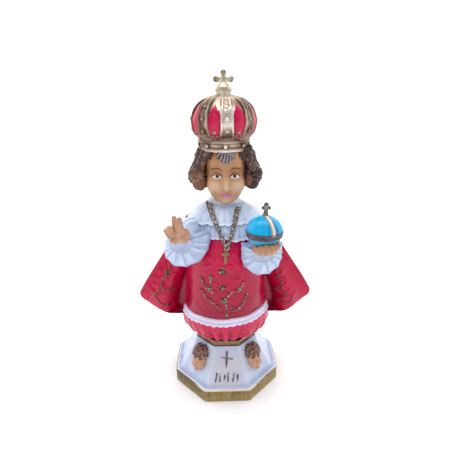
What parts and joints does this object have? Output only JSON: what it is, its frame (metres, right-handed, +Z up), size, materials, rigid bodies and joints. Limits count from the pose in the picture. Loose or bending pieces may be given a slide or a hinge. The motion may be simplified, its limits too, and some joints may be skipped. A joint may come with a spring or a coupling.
{
  "type": "crowned child statuette",
  "caption": "Painted plaster devotional statuette of a crowned, robed child blessing and holding a globe, cast in one with an octagonal plinth.",
  "frame": {"origin": "middle of the plinth's flat underside", "axes": "+Z up through the figure, -Y towards the front that the figure faces, +X towards the hand with the globe"},
  "size_m": [0.1718, 0.1177, 0.3],
  "materials": {
    "painted_plaster": "gloss enamel paint over cast plaster"
  },
  "bodies": {
    "root": {"statue": "painted_plaster"}
  },
  "joints": []
}
